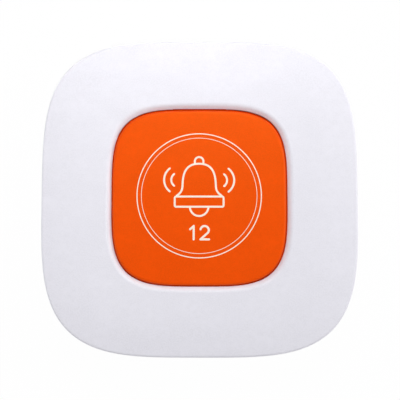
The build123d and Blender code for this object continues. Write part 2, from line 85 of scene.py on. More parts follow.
SHELL_WALL = 2.0
SEAM_STEP = 0.25
SEAM_EDGE_R = 0.25
SEAM_BREAK = 0.25  # chamfer of the base's upper edge: with the cover's rounding the seam is a groove
TONGUE_IN = 2.1
TONGUE_WALL = 1.2
LOWER_EDGE_R = 3.0
SHOULDER_R = 0.65
CROWN_REACH = 10.0  # from the outside to where the crown turns flat
CROWN_SLOPE = math.radians(6.4)  # where the crown leaves the shoulder
LIP_SLOPE = math.radians(45)  # bevelled lip round the opening
LIP_BREAK_R = 1.25  # rounding between the top and the bevel
LIP_EDGE_R = 0.05  # rounding between the bevel and the opening
LIP_REACH = 1.35  # width of the lip
LIP_UNDERCUT = 0.34  # the opening is this much wider below the lip, on each side
LIP_UNDERCUT_RUN = 0.1  # height over which the undercut widens
RING_R = 16.6
RECESS_R = 15.2
BORE_R = 13.75
TRACK_R = 14.55
CUTTER_R = 12.25  # inner radius of what cuts the notches and tracks, inside the bore
FRAME_HALF = 20.72
FRAME_WALL = 1.4
FRAME_CUT = 8.0  # length that a cut corner takes from a side
POST_XY = 14.0
POST_W = 2.4
BOSS_R = 3.0
SCREW_BORE_R = 1.13
HEAD_HOLE_R = 2.3
SHANK_HOLE_R = 1.4
RIB_T = 1.0
RIB_OFFSET = 10.0
RIB_DROP = 1.6
FOOT_R = 4.5
FOOT_EDGE_R = 0.35
BUTTON_EDGE = (0.7, 0.4)  # width and height of the rounding of the cap's upper edge
BUTTON_STEP = 0.58  # a narrow shoulder of the cap, which closes the view into the gap
BUTTON_WALL = 1.5
BUTTON_RIB_T = 1.2
BUTTON_RIB_DEPTH = 1.0
PLUNGER_R = 3.5
TAB_REACH = 1.3
TAB_LENGTH = 12.0
JOINED = 0.4  # how far a joined body reaches into the wall that carries it
CORNER_XY = 22.47
CORNERS = [(CORNER_XY * i, CORNER_XY * j) for i in (1, -1) for j in (1, -1)]
QUARTER_TURNS = [quarter * math.pi / 2 for quarter in range(4)]

# ---- Mesh helpers -------------------------------------------------------------------------------

OUTLINE_STEPS = 160
CORNER_DRAW = 0.05  # draws the points of an outline towards its corners
ROUND_STEPS = 48
ARC_STEPS = 8
SECTOR_STEP = 3.0  # degrees between the points of a sector
SHARP_ANGLE = math.radians(28)


def square_loop(profile, inset, z):
    """Points round a rounded square whose outline is moved inwards along its normals, at height z."""
    half, exponent, tall = profile
    points = []
    for step in range(OUTLINE_STEPS):
        turn = 2 * math.pi * step / OUTLINE_STEPS
        turn += CORNER_DRAW * math.sin(4 * turn)
        c, s = math.cos(turn), math.sin(turn)
        reach = half * (abs(c) ** exponent + abs(s) ** exponent) ** (-1 / exponent)
        slopes = [math.copysign(abs(part) ** (exponent - 1), part) for part in (c, s)]
        way = Vector((slopes[0], slopes[1] / tall, 0)).normalized()
        points.append(Vector((reach * c, reach * s * tall, z)) - way * inset)
    return points


def radial_loop(radius, z):
    """A circle whose points lie in the same directions as those of a rounded square."""
    ways = [Vector((p.x, p.y, 0)).normalized() for p in square_loop(SHELL, 0, 0)]
    return [way * radius + Vector((0, 0, z)) for way in ways]


def circle(radius, z, at=(0, 0)):
    """Points round a circle."""
    angles = [2 * math.pi * step / ROUND_STEPS for step in range(ROUND_STEPS)]
    return [Vector((at[0] + radius * math.cos(a), at[1] + radius * math.sin(a), z)) for a in angles]


def arc(centre, radius, start, sweep, steps):
    """Points along an arc at height 0, angles in degrees."""
    angles = [math.radians(start + sweep * step / steps) for step in range(steps + 1)]
    return [Vector((centre[0] + radius * math.cos(a), centre[1] + radius * math.sin(a), 0)) for a in angles]


def rounding(radius, steps=ARC_STEPS, turn=math.pi / 2):
    """Points on the arc of a rounded edge, as distances back from its first tangent and along it."""
    angles = [turn * step / steps for step in range(steps + 1)]
    return [(radius * (1 - math.cos(a)), radius * math.sin(a)) for a in angles]


def skin(bm, loops, poles=None):
    """Adds a closed surface through loops of points. Without poles the last loop joins the first."""
    rows = [[bm.verts.new(p * MM) for p in points] for points in loops]
    count = len(rows[0])
    for near, far in zip(rows, rows[1:] + ([] if poles else rows[:1])):
        for i in range(count):
            j = (i + 1) % count
            bm.faces.new((near[i], near[j], far[j], far[i]))
    if poles:
        for pole, row in zip(poles, (rows[0], rows[-1])):
            tip = bm.verts.new(pole * MM)
            for i in range(count):
                bm.faces.new((row[i], row[(i + 1) % count], tip))


def prism(bm, outline, low, high):
    """Adds a prism over an outline of points."""
    rows = [[bm.verts.new((p.x * MM, p.y * MM, z * MM)) for p in outline] for z in (low, high)]
    for i in range(len(outline)):
        j = (i + 1) % len(outline)
        bm.faces.new((rows[0][i], rows[0][j], rows[1][j], rows[1][i]))
    for row in rows:
        bm.faces.new(row)


def block(bm, size_x, size_y, low, high, at=(0, 0), turn=0.0):
    """Adds an upright bar, turned about the z axis."""
    rotation = Matrix.Rotation(turn, 3, "Z")
    half_x, half_y = size_x / 2, size_y / 2
    corners = [(half_x, half_y), (-half_x, half_y), (-half_x, -half_y), (half_x, -half_y)]
    prism(bm, [rotation @ Vector((at[0] + x, at[1] + y, 0)) for x, y in corners], low, high)


def sector(bm, inner_r, outer_r, low, high, start, sweep):
    """Adds part of a ring about the z axis, angles in degrees."""
    steps = max(2, round(sweep / SECTOR_STEP))
    outside = arc((0, 0), outer_r, start, sweep, steps)
    inside = arc((0, 0), inner_r, start, sweep, steps)
    prism(bm, outside + inside[::-1], low, high)


def octagon(offset, z):
    """Square with cut corners: the inside of the button's frame, moved outwards on all eight sides."""
    half = FRAME_HALF + offset
    near = half - FRAME_CUT - (2 - math.sqrt(2)) * offset
    points = [(half, -near), (half, near), (near, half), (-near, half)]
    points += [(-x, -y) for x, y in points]
    return [Vector((x, y, z)) for x, y in points]


def make_object(name, fill):
    """Mesh object from a function that fills a bmesh."""
    bm = bmesh.new()
    fill(bm)
    bmesh.ops.recalc_face_normals(bm, faces=bm.faces[:])
    mesh = bpy.data.meshes.new(name)
    bm.to_mesh(mesh)
    bm.free()
    piece = bpy.data.objects.new(name, mesh)
    bpy.context.collection.objects.link(piece)
    return piece


def apply_modifiers(piece):
    """Writes the modifiers of a piece into its mesh."""
    bpy.context.view_layer.update()
    evaluated = piece.evaluated_get(bpy.context.evaluated_depsgraph_get())
    mesh = bpy.data.meshes.new_from_object(evaluated)
    piece.modifiers.clear()
    piece.data = mesh


def combine(piece, operation, fill):
    """Joins another body to a piece, or cuts it away."""
    tool = make_object("tool", fill)
    boolean = piece.modifiers.new("boolean", "BOOLEAN")
    boolean.operation = operation
    boolean.solver = "EXACT"
    boolean.object = tool
    apply_modifiers(piece)
    bpy.data.objects.remove(tool)


def shade(piece):
    """Smooth shading that keeps sharp edges and flat faces."""
    piece.data.shade_smooth()
    piece.data.set_sharp_from_angle(angle=SHARP_ANGLE)
    weighted = piece.modifiers.new("weighted", "WEIGHTED_NORMAL")
    weighted.keep_sharp = True
    apply_modifiers(piece)


# ---- Cover --------------------------------------------------------------------------------------

SEAM_EDGE_STEPS = 3
CROWN_STEPS = 16
LIP_EDGE_STEPS = 4


def lip_profile():
    """Distance out from the opening and drop below the top, along the bevelled lip."""
    points = [(LIP_REACH - along, back) for back, along in rounding(LIP_BREAK_R, turn=LIP_SLOPE)]
    steepness = math.tan(LIP_SLOPE)
    run = points[-1][0] - LIP_EDGE_R
    low = points[-1][1] + run * steepness
    points += [(LIP_EDGE_R + run * share, low - run * share * steepness) for share in (0.5, 0.0)]
    turn = math.pi / 2 - LIP_SLOPE
    span = LIP_EDGE_R / math.sin(turn)
    for step in range(1, LIP_EDGE_STEPS + 1):
        angle = turn * step / LIP_EDGE_STEPS
        drop = low + span * (math.cos(turn - angle) - math.cos(turn))
        points.append((LIP_EDGE_R - span * math.sin(angle), drop))
    return points


def opening_loop(out, z):
    """Points round the button's opening, moved outwards, at height z."""
    return [point + OPENING_SHIFT for point in square_loop(OPENING, -out, z)]


def cover_skin(bm):
    """Crowned cover: side, shoulder, crown, rolled lip, opening, and the hollow inside."""
    seam_edge = rounding(SEAM_EDGE_R, SEAM_EDGE_STEPS)
    loops = [square_loop(SHELL, SEAM_EDGE_R - along, SEAM_Z + back) for back, along in seam_edge]
    shoulder = rounding(SHOULDER_R, turn=math.pi / 2 - CROWN_SLOPE)
    loops += [square_loop(SHELL, back, SHOULDER_Z + along) for back, along in shoulder]
    start, start_z = shoulder[-1][0], SHOULDER_Z + shoulder[-1][1]
    reach = CROWN_REACH - start
    for step in range(1, CROWN_STEPS + 1):
        run = step / CROWN_STEPS
        rise = math.tan(CROWN_SLOPE) * reach * (run - run**2 / 2)
        loops.append(square_loop(SHELL, start + reach * run, start_z + rise))
    flat = loops[-1]
    lip = [opening_loop(out, flat[0].z - drop) for out, drop in lip_profile()]
    loops += [[a.lerp(b, share) for a, b in zip(flat, lip[0])] for share in (0.25, 0.5, 0.75)]
    loops += lip
    loops.append(opening_loop(0, LIP_UNDERCUT_Z))
    loops += [opening_loop(LIP_UNDERCUT, z) for z in (LIP_UNDERCUT_Z - LIP_UNDERCUT_RUN, CEILING_Z)]
    loops += [square_loop(SHELL, SHELL_WALL, z) for z in (CEILING_Z, SEAM_Z)]
    skin(bm, loops)


def cover_frame(bm):
    """Wall round the button, with cut corners."""
    low, high = RIM_TOP_Z, CEILING_Z + JOINED
    levels = ((FRAME_WALL, low), (FRAME_WALL, high), (0, high), (0, low))
    skin(bm, [octagon(offset, z) for offset, z in levels])


def cover_ribs(bm):
    """Eight ribs under the cover, from the frame to the side walls."""
    near = FRAME_HALF + FRAME_WALL / 2
    far = SHELL[0] - SHELL_WALL / 2
    low, high = CEILING_Z - RIB_DROP, CEILING_Z + JOINED
    for turn in QUARTER_TURNS:
        for side in (1, -1):
            block(bm, far - near, RIB_T, low, high, ((near + far) / 2, side * RIB_OFFSET), turn)


def cover_bosses(bm):
    """Four screw bosses with blind bores."""
    high = CEILING_Z + JOINED
    for at in CORNERS:
        loops = [circle(BOSS_R, high, at), circle(BOSS_R, FLOOR_Z, at)]
        loops += [circle(SCREW_BORE_R, FLOOR_Z, at), circle(SCREW_BORE_R, BORE_TOP_Z, at)]
        skin(bm, loops, (Vector((*at, high)), Vector((*at, BORE_TOP_Z))))


# ---- Base and feet ------------------------------------------------------------------------------

LUG_COUNT = 3
LUG_ANGLE = 30.0
UNLOCK_ANGLE = 40.0
NOTCH_MARGIN = 2.0
NOTCH_START = 0.1  # how far below the ledge the cutters of the notches begin
STOP_GAP = 0.6  # degrees past the locked place of a lug


def base_skin(bm):
    """Base: tongue, seam step, rounded lower edge, the door's recess, the cell's bore and its ring."""
    squares = [(TONGUE_IN + TONGUE_WALL, FLOOR_Z), (TONGUE_IN + TONGUE_WALL, TONGUE_TOP_Z)]
    squares += [(TONGUE_IN, TONGUE_TOP_Z), (TONGUE_IN, SEAM_Z)]
    squares += [(SEAM_STEP + SEAM_BREAK, SEAM_Z), (SEAM_STEP, SEAM_Z - SEAM_BREAK)]
    edge_z = UNDERSIDE_Z + LOWER_EDGE_R
    squares += [(SEAM_STEP + back, edge_z - along) for back, along in rounding(LOWER_EDGE_R, 2 * ARC_STEPS)]
    rounds = [(RECESS_R, UNDERSIDE_Z), (RECESS_R, LEDGE_Z), (BORE_R, LEDGE_Z)]
    rounds += [(BORE_R, RING_TOP_Z), (RING_R, RING_TOP_Z), (RING_R, FLOOR_Z)]
    loops = [square_loop(SHELL, inset, z) for inset, z in squares]
    skin(bm, loops + [radial_loop(radius, z) for radius, z in rounds])


def base_posts(bm):
    """Four posts under the board and four ribs on the floor."""
    near = RING_R - JOINED
    far = SHELL[0] - SHELL_WALL
    low = FLOOR_Z - JOINED
    for turn in QUARTER_TURNS:
        block(bm, POST_W, POST_W, low, BOARD_Z, (POST_XY, POST_XY), turn)
        block(bm, far - near, RIB_T, low, SEAM_Z, ((near + far) / 2, 0), turn)


def base_screw_holes(bm):
    """Counterbored holes for the four screws, under the feet."""
    low, high = UNDERSIDE_Z - JOINED, FLOOR_Z + JOINED
    for at in CORNERS:
        loops = [circle(HEAD_HOLE_R, low, at), circle(HEAD_HOLE_R, HEAD_SEAT_Z, at)]
        loops += [circle(SHANK_HOLE_R, HEAD_SEAT_Z, at), circle(SHANK_HOLE_R, high, at)]
        skin(bm, loops, (Vector((*at, low)), Vector((*at, high))))


def lug_starts():
    """Angles at which the notches and tracks of the door's lugs start, in degrees."""
    return [360 / LUG_COUNT * lug - UNLOCK_ANGLE - LUG_ANGLE / 2 - NOTCH_MARGIN for lug in range(LUG_COUNT)]


def base_notches(bm):
    """Openings in the ledge through which the door's lugs pass."""
    for start in lug_starts():
        sector(bm, CUTTER_R, TRACK_R, LEDGE_Z - NOTCH_START, TRACK_Z, start, LUG_ANGLE + 2 * NOTCH_MARGIN)


def base_tracks(bm):
    """Tracks along which the lugs turn."""
    sweep = UNLOCK_ANGLE + LUG_ANGLE + STOP_GAP + NOTCH_MARGIN
    for start in lug_starts():
        sector(bm, CUTTER_R, TRACK_R, TRACK_Z, RING_TOP_Z + JOINED, start, sweep)


def foot_pads(bm):
    """Four turned rubber pads with a rounded lower edge."""
    edge = rounding(FOOT_EDGE_R)
    for at in CORNERS:
        loops = [circle(FOOT_R, UNDERSIDE_Z, at)]
        loops += [circle(FOOT_R - back, FOOT_EDGE_R - along, at) for back, along in edge]
        skin(bm, loops, (Vector((*at, UNDERSIDE_Z)), Vector((*at, 0))))


# ---- Button -------------------------------------------------------------------------------------

CAP_RINGS = 6
CAP_EDGE_STEPS = 10


def cap_skin(bm):
    """Orange cap: flat top, rounded edge, narrow shoulder and hollow underside."""
    width, height = BUTTON_EDGE
    edge_z = CAP_TOP_Z - height
    rim = square_loop(BUTTON, width, CAP_TOP_Z)
    centre = Vector((0, 0, CAP_TOP_Z))
    loops = [[centre.lerp(p, ring / CAP_RINGS) for p in rim] for ring in range(1, CAP_RINGS)]
    for back, along in reversed(rounding(1.0, CAP_EDGE_STEPS)):
        loops.append(square_loop(BUTTON, back * width, edge_z + along * height))
    loops.append(square_loop(BUTTON, 0, BUTTON_STEP_Z))
    loops += [square_loop(BUTTON, -BUTTON_STEP, z) for z in (BUTTON_STEP_Z, SKIRT_Z)]
    loops += [square_loop(BUTTON, BUTTON_WALL, z) for z in (SKIRT_Z, BUTTON_CEILING_Z)]
    skin(bm, loops, (centre, Vector((0, 0, BUTTON_CEILING_Z))))
    bmesh.ops.translate(bm, verts=bm.verts[:], vec=BUTTON_SHIFT * MM)


def cap_plunger(bm):
    """Plunger under the middle of the cap."""
    high = BUTTON_CEILING_Z + JOINED
    loops = [circle(PLUNGER_R, high), circle(PLUNGER_R, PAD_TOP_Z)]
    skin(bm, loops, (Vector((0, 0, high)), Vector((0, 0, PAD_TOP_Z))))


def cap_tabs(bm):
    """Four tabs that keep the cap under the lip."""
    near = BUTTON[0] - BUTTON_WALL / 2
    far = BUTTON[0] + TAB_REACH
    for turn in QUARTER_TURNS:
        block(bm, far - near, TAB_LENGTH, SKIRT_Z, CEILING_Z, ((near + far) / 2, 0), turn)


def cap_rib(bm, turn=0.0):
    """Rib across the cap's ceiling."""
    low, high = BUTTON_CEILING_Z - BUTTON_RIB_DEPTH, BUTTON_CEILING_Z + JOINED
    block(bm, 2 * BUTTON[0] - BUTTON_WALL, BUTTON_RIB_T, low, high, turn=turn)


def cap_cross_rib(bm):
    """Second rib, across the first."""
    cap_rib(bm, math.pi / 2)


# ---- Print on the cap ---------------------------------------------------------------------------
# Places are in millimetres from the middle of the double ring.

PRINT_AT = Vector((-0.055, 0.345, 0))
PRINT_LOW_Z = CAP_TOP_Z - 0.02  # the ink reaches a little into the cap
INK_EDGE = 0.02  # how much narrower a line is on top, on each side
MITER_LIMIT = 0.5  # keeps a sharp bend of a line from getting a long tip
ROUND_END_STEPS = 5
RINGS = ((13.665, 0.245), (12.715, 0.145))  # radius and width of the lines
RING_STEPS = 144
BELL_STROKE = 0.45
BELL_STEPS = 24
BELL_DOME = ((0, 7.02), (2.55, 7.02), (3.405, 5.455), (3.61, 3.21))  # its right half, as Bezier points
BELL_FLARE = ((3.61, 3.21), (3.75, 1.84), (3.44, 0.97), (4.92, -0.03))
BELL_CURVE_STEPS = 16
HANDLE_R = 0.94
HANDLE_Y = 7.56
HANDLE_FOOT_Y = 7.0
BAND_HALF = 5.36
BAND_TOP = -0.23
BAND_FOOT = -2.47
BAND_CORNER_R = 0.3
BAND_CORNER_STEPS = 6
CLAPPER_R = 2.035
SOUND_RADII = (3.21, 1.64)
SOUND_SWEEP = 104
SOUND_SIDES = (((4.5, 3.37), 0), ((-4.5, 3.45), 180))  # centre and direction of each pair of arcs
DIGIT_STROKE = 0.48
DIGIT_TOP = -6.70
DIGIT_FOOT = -9.615
DIGIT_ONE_X = -1.2
DIGIT_ONE_FLAG = (0.78, 0.7)  # how far the flag reaches to the left and down
DIGIT_TWO_X = 1.2
DIGIT_TWO_R = 0.91
DIGIT_TWO_START = 168
DIGIT_TWO_SWEEP = -203
DIGIT_TWO_STEPS = 20
DIGIT_TWO_OVERRUN = 0.06


def bezier(controls):
    """Points along a cubic curve."""
    points = []
    for step in range(BELL_CURVE_STEPS + 1):
        t = step / BELL_CURVE_STEPS
        weights = ((1 - t) ** 3, 3 * t * (1 - t) ** 2, 3 * t**2 * (1 - t), t**3)
        x, y = (sum(w * p[axis] for w, p in zip(weights, controls)) for axis in (0, 1))
        points.append(Vector((x, y, 0)))
    return points


def straight(*points):
    """Points of a broken line."""
    return [Vector((x, y, 0)) for x, y in points]


def across(way):
    """Direction to the left of a way."""
    return Vector((-way.y, way.x, 0))


def ink_section(centre, side, half):
    """Four corners across a line of ink, a little narrower on top."""
    top = max(half - INK_EDGE, half / 2)
    low, high = Vector((0, 0, PRINT_LOW_Z)), Vector((0, 0, PRINT_TOP_Z))
    at = PRINT_AT + centre
    return [at + side * half + low, at + side * top + high, at - side * top + high, at - side * half + low]


def stroke(bm, points, width):
    """Adds an open line of ink with round ends."""
    half = width / 2
    ways = [(b - a).normalized() for a, b in zip(points, points[1:])]
    sections = []
    for i, point in enumerate(points):
        before, after = ways[max(i - 1, 0)], ways[min(i, len(ways) - 1)]
        way = (before + after).normalized()
        sections.append(ink_section(point, across(way), half / max(way.dot(after), MITER_LIMIT)))
    middle = Vector((0, 0, (PRINT_LOW_Z + PRINT_TOP_Z) / 2))
    angles = [math.pi / 2 * step / ROUND_END_STEPS for step in range(1, ROUND_END_STEPS)]
    ends = []
    tips = []
    for point, way, sign in ((points[0], -ways[0], -1), (points[-1], ways[-1], 1)):
        spots = [point + way * half * math.sin(a) for a in angles]
        side = across(way) * sign
        ends.append([ink_section(spot, side, half * math.cos(a)) for spot, a in zip(spots, angles)])
        tips.append(PRINT_AT + point + way * half + middle)
    skin(bm, ends[0][::-1] + sections + ends[1], tips)


def ring_stroke(bm, points, width):
    """Adds a closed line of ink."""
    loops = []
    for i, point in enumerate(points):
        way = (points[(i + 1) % len(points)] - points[i - 1]).normalized()
        loops.append(ink_section(point, across(way), width / 2))
    skin(bm, loops)


def print_rings(bm):
    """Double ring round the pictogram."""
    for radius, width in RINGS:
        ring_stroke(bm, arc((0, 0), radius, 0, 360, RING_STEPS)[:-1], width)


def bell_body(bm):
    """Outline of the bell, from flare to flare."""
    right = bezier(BELL_DOME) + bezier(BELL_FLARE)[1:]
    left = [Vector((-p.x, p.y, 0)) for p in reversed(right)]
    stroke(bm, left + right[1:], BELL_STROKE)


def bell_handle(bm):
    """Loop on top of the bell."""
    loop = arc((0, HANDLE_Y), HANDLE_R, 180, -180, BELL_STEPS)
    ends = [straight((x, HANDLE_FOOT_Y)) for x in (-HANDLE_R, HANDLE_R)]
    stroke(bm, ends[0] + loop + ends[1], BELL_STROKE)


def bell_band(bm):
    """Rim of the bell: a long rectangle with rounded corners."""
    x, top, foot = BAND_HALF - BAND_CORNER_R, BAND_TOP - BAND_CORNER_R, BAND_FOOT + BAND_CORNER_R
    points = []
    for start, corner in ((0, (x, top)), (90, (-x, top)), (180, (-x, foot)), (270, (x, foot))):
        points += arc(corner, BAND_CORNER_R, start, 90, BAND_CORNER_STEPS)
    ring_stroke(bm, points, BELL_STROKE)


def bell_clapper(bm):
    """Clapper under the rim."""
    stroke(bm, arc((0, BAND_FOOT), CLAPPER_R, 180, 180, BELL_STEPS), BELL_STROKE)


def sound_arcs(bm):
    """Two arcs on each side of the bell."""
    for radius in SOUND_RADII:
        for centre, direction in SOUND_SIDES:
            points = arc(centre, radius, direction - SOUND_SWEEP / 2, SOUND_SWEEP, BELL_STEPS)
            stroke(bm, points, BELL_STROKE)


def digit_one(bm):
    """Stem of the figure 1 of the table number."""
    stroke(bm, straight((DIGIT_ONE_X, DIGIT_TOP), (DIGIT_ONE_X, DIGIT_FOOT)), DIGIT_STROKE)


def digit_one_flag(bm):
    """Flag of the figure 1."""
    reach, drop = DIGIT_ONE_FLAG
    stroke(bm, straight((DIGIT_ONE_X - reach, DIGIT_TOP - drop), (DIGIT_ONE_X, DIGIT_TOP)), DIGIT_STROKE)


def digit_two(bm):
    """Head and neck of the figure 2 of the table number."""
    centre = (DIGIT_TWO_X, DIGIT_TOP - DIGIT_TWO_R)
    head = arc(centre, DIGIT_TWO_R, DIGIT_TWO_START, DIGIT_TWO_SWEEP, DIGIT_TWO_STEPS)
    stroke(bm, head + straight((DIGIT_TWO_X - DIGIT_TWO_R, DIGIT_FOOT)), DIGIT_STROKE)


def digit_two_foot(bm):
    """Foot of the figure 2."""
    left, right = DIGIT_TWO_X - DIGIT_TWO_R, DIGIT_TWO_X + DIGIT_TWO_R + DIGIT_TWO_OVERRUN
    stroke(bm, straight((left, DIGIT_FOOT), (right, DIGIT_FOOT)), DIGIT_STROKE)


# ---- Marks on the underside ---------------------------------------------------------------------
# Radii are in millimetres from the middle of the door, angles in degrees.

MARK_LOW_Z = UNDERSIDE_Z - 0.3
MARK_HIGH_Z = UNDERSIDE_Z + 0.1  # inside the plastic
CLOSED_MARK = 90.0
POINTER = ((13.9, 0), (12.2, 4), (12.2, -4))  # radius, and angle from the mark, of its corners
ARROW_SHAFT = (11.2, 11.8, 248, 40)  # inner and outer radius, start and sweep
ARROW_HEAD = ((11.5, 240), (10.6, 248.5), (12.4, 248.5))
BASE_MARK = (0.6, 2.4)
BASE_MARK_R = 18.6


def polar(radius, angle):
    """Point at an angle in degrees about the z axis."""
    return Vector((radius * math.cos(math.radians(angle)), radius * math.sin(math.radians(angle)), 0))


def door_marks(bm):
    """Raised pointer at the door's rim and a curved arrow that shows the way to open it."""
    inner_r, outer_r, start, sweep = ARROW_SHAFT
    prism(bm, [polar(radius, CLOSED_MARK + angle) for radius, angle in POINTER], MARK_LOW_Z, MARK_HIGH_Z)
    sector(bm, inner_r, outer_r, MARK_LOW_Z, MARK_HIGH_Z, start, sweep)
    prism(bm, [polar(radius, angle) for radius, angle in ARROW_HEAD], MARK_LOW_Z, MARK_HIGH_Z)


def base_marks(bm):
    """Raised bar on the base, at which the door's pointer stands when it is shut."""
    block(bm, *BASE_MARK, MARK_LOW_Z, MARK_HIGH_Z, (0, BASE_MARK_R))


# ---- Node helpers -------------------------------------------------------------------------------


def feed(tree, socket, value):
    """Joins a socket to an input, or sets the input to a number or colour."""
    if isinstance(value, bpy.types.NodeSocket):
        tree.links.new(value, socket)
    else:
        socket.default_value = value


def map_value(tree, value, source, target, interpolation="LINEAR"):
    """Socket that goes from target[0] to target[1] as value goes from source[0] to source[1]."""
    node = tree.nodes.new("ShaderNodeMapRange")
    node.interpolation_type = interpolation
    names = ("Value", "From Min", "From Max", "To Min", "To Max")
    for name, entry in zip(names, (value, *source, *target)):
        feed(tree, node.inputs[name], entry)
    return node.outputs["Result"]


def math_value(tree, operation, first, second):
    """Socket with the result of a calculation with two sockets or numbers."""
    node = tree.nodes.new("ShaderNodeMath")
    node.operation = operation
    for socket, entry in zip(node.inputs, (first, second)):
        feed(tree, socket, entry)
    return node.outputs[0]


def mix_shaders(tree, factor, first, second):
    """Socket with two shaders mixed: factor is the share of the second."""
    node = tree.nodes.new("ShaderNodeMixShader")
    for socket, entry in zip(node.inputs, (factor, first, second)):
        feed(tree, socket, entry)
    return node.outputs[0]


# ---- Materials ----------------------------------------------------------------------------------

NOISE_ROUGHNESS = 0.55
NOISE_RANGE = (0.3, 0.7)  # the values that most of a noise lies between
EDGE_RANGE = (0.51, 0.58)  # pointiness of an edge that starts to look worn, and of one that does fully
BEVEL_SAMPLES = 6


class Nodes:
    """Short way to write the nodes of one material."""

    def __init__(self, name):
        self.material = bpy.data.materials.new(name)
        self.material.use_nodes = True
        self.tree = self.material.node_tree
        self.shader = self.tree.nodes["Principled BSDF"]
        self.place = self.add("ShaderNodeTexCoord").outputs["Object"]

    def add(self, kind, **values):
        """New node; values are settings of the node, or numbers and colours for its input sockets."""
        node = self.tree.nodes.new(kind)
        for key, value in values.items():
            if hasattr(node, key):
                setattr(node, key, value)
            else:
                node.inputs[key.replace("_", " ")].default_value = value
        return node

    def join(self, output, target):
        """Link between two sockets."""
        self.tree.links.new(output, target)

    def noise(self, size_mm, detail=2.0, stretch=None):
        """Noise whose lumps are about size_mm across."""
        scale = 1 / (size_mm * MM)
        node = self.add("ShaderNodeTexNoise", Scale=scale, Detail=detail, Roughness=NOISE_ROUGHNESS)
        place = self.place
        if stretch:
            mapping = self.add("ShaderNodeMapping", Scale=stretch)
            self.join(place, mapping.inputs["Vector"])
            place = mapping.outputs["Vector"]
        self.join(place, node.inputs["Vector"])
        return node.outputs["Fac"]

    def ramp(self, factor, low, high, source=NOISE_RANGE):
        """Value from low to high, as factor goes through the source's range."""
        return map_value(self.tree, factor, source, (low, high))

    def mix(self, factor, first, second):
        """Colour between two colours or sockets."""
        node = self.add("ShaderNodeMix", data_type="RGBA")
        self.join(factor, node.inputs["Factor"])
        for socket, value in ((node.inputs[6], first), (node.inputs[7], second)):
            feed(self.tree, socket, (*value, 1) if isinstance(value, tuple) else value)
        return node.outputs[2]

    def worn_edges(self):
        """Share from 0 to 1 of how sharp an outer edge is at a point."""
        return self.ramp(self.add("ShaderNodeNewGeometry").outputs["Pointiness"], 0, 1, EDGE_RANGE)

    def normal(self, height, depth_mm, edge_mm=0.0):
        """Bump of a height in millimetres, over edges that look rounded."""
        bump = self.add("ShaderNodeBump", Strength=1.0, Distance=depth_mm * MM)
        self.join(height, bump.inputs["Height"])
        if edge_mm:
            bevel = self.add("ShaderNodeBevel", samples=BEVEL_SAMPLES, Radius=edge_mm * MM)
            self.join(bevel.outputs["Normal"], bump.inputs["Normal"])
        self.join(bump.outputs["Normal"], self.shader.inputs["Normal"])

    def finish(self, colour, roughness, metallic=0.0, specular=0.5, tint=(1, 1, 1)):
        """Joins colour and roughness to the shader and returns the material."""
        self.join(colour, self.shader.inputs["Base Color"])
        self.join(roughness, self.shader.inputs["Roughness"])
        self.shader.inputs["Metallic"].default_value = metallic
        self.shader.inputs["Specular IOR Level"].default_value = specular
        self.shader.inputs["Specular Tint"].default_value = (*tint, 1)
        return self.material


def toned(colour, factor, lift=0.0):
    """Colour made paler or deeper."""
    return tuple(min(1.0, c * factor + lift) for c in colour)


FLOW_MM = 9.0
FLOW_STRETCH = (1.0, 1.6, 1.0)
MOTTLE_MM = 1.3
MOTTLE_RANGE = (0.35, 0.65)
MOTTLE_SHARE = 0.7
SPECKLE_RANGE = (0.38, 0.64)
SPECKLE_SHARE = 0.8
RUBBED_TONE = (1.03, 0.004)
PLASTIC_SPREAD = 0.06  # of the roughness
PLASTICS = {  # colour, shift, roughness, specular, grain_mm, depth_mm, edge_mm and the highlight's tint
    "white_plastic": ((0.835, 0.825, 0.885), 0.036, 0.5, 0.3, 0.3, 0.018, 0.12),
    "orange_plastic": ((0.885, 0.0705, 0.0), 0.06, 0.46, 0.29, 0.3, 0.03, 0.08, (0.9, 1.0, 0.2)),
    "black_plastic": ((0.02, 0.02, 0.022), 0.12, 0.45, 0.4, 0.15, 0.008, 0.05),
    "pale_ceramic": ((0.6, 0.58, 0.52), 0.05, 0.7, 0.4, 0.1, 0.01, 0.04),
    "tan_ceramic": ((0.42, 0.3, 0.19), 0.08, 0.65, 0.4, 0.1, 0.01, 0.04),
    "tantalum_yellow": ((0.75, 0.46, 0.08), 0.06, 0.5, 0.4, 0.12, 0.008, 0.05),
}


def moulded(name, colour, shift, roughness, specular, grain_mm, depth_mm, edge_mm, tint=(1, 1, 1)):
    """Spark-eroded plastic, or fired ceramic: fine grain, faint flow marks, edges rubbed a little paler."""
    nodes = Nodes(name)
    flow = nodes.noise(FLOW_MM, detail=3.0, stretch=FLOW_STRETCH)
    fine = nodes.noise(grain_mm, detail=3.0)
    pale, deep = toned(colour, 1 + shift), toned(colour, 1 - shift)
    broad = nodes.mix(nodes.ramp(flow, 0, 1), deep, pale)
    mottle = nodes.ramp(nodes.noise(MOTTLE_MM), 0, MOTTLE_SHARE, MOTTLE_RANGE)
    speckle = nodes.ramp(fine, 0, SPECKLE_SHARE, SPECKLE_RANGE)
    grained = nodes.mix(speckle, nodes.mix(mottle, broad, deep), pale)
    rubbed = nodes.mix(nodes.worn_edges(), grained, toned(colour, *RUBBED_TONE))
    nodes.normal(fine, depth_mm, edge_mm)
    rough = nodes.ramp(fine, roughness - PLASTIC_SPREAD, roughness + PLASTIC_SPREAD)
    return nodes.finish(rubbed, rough, specular=specular, tint=tint)


SCRATCH_MM = 0.25
STAIN_MM = 3.0
STAIN_TONE = 0.86
METAL_SPREAD = (-0.08, 0.1)  # of the roughness


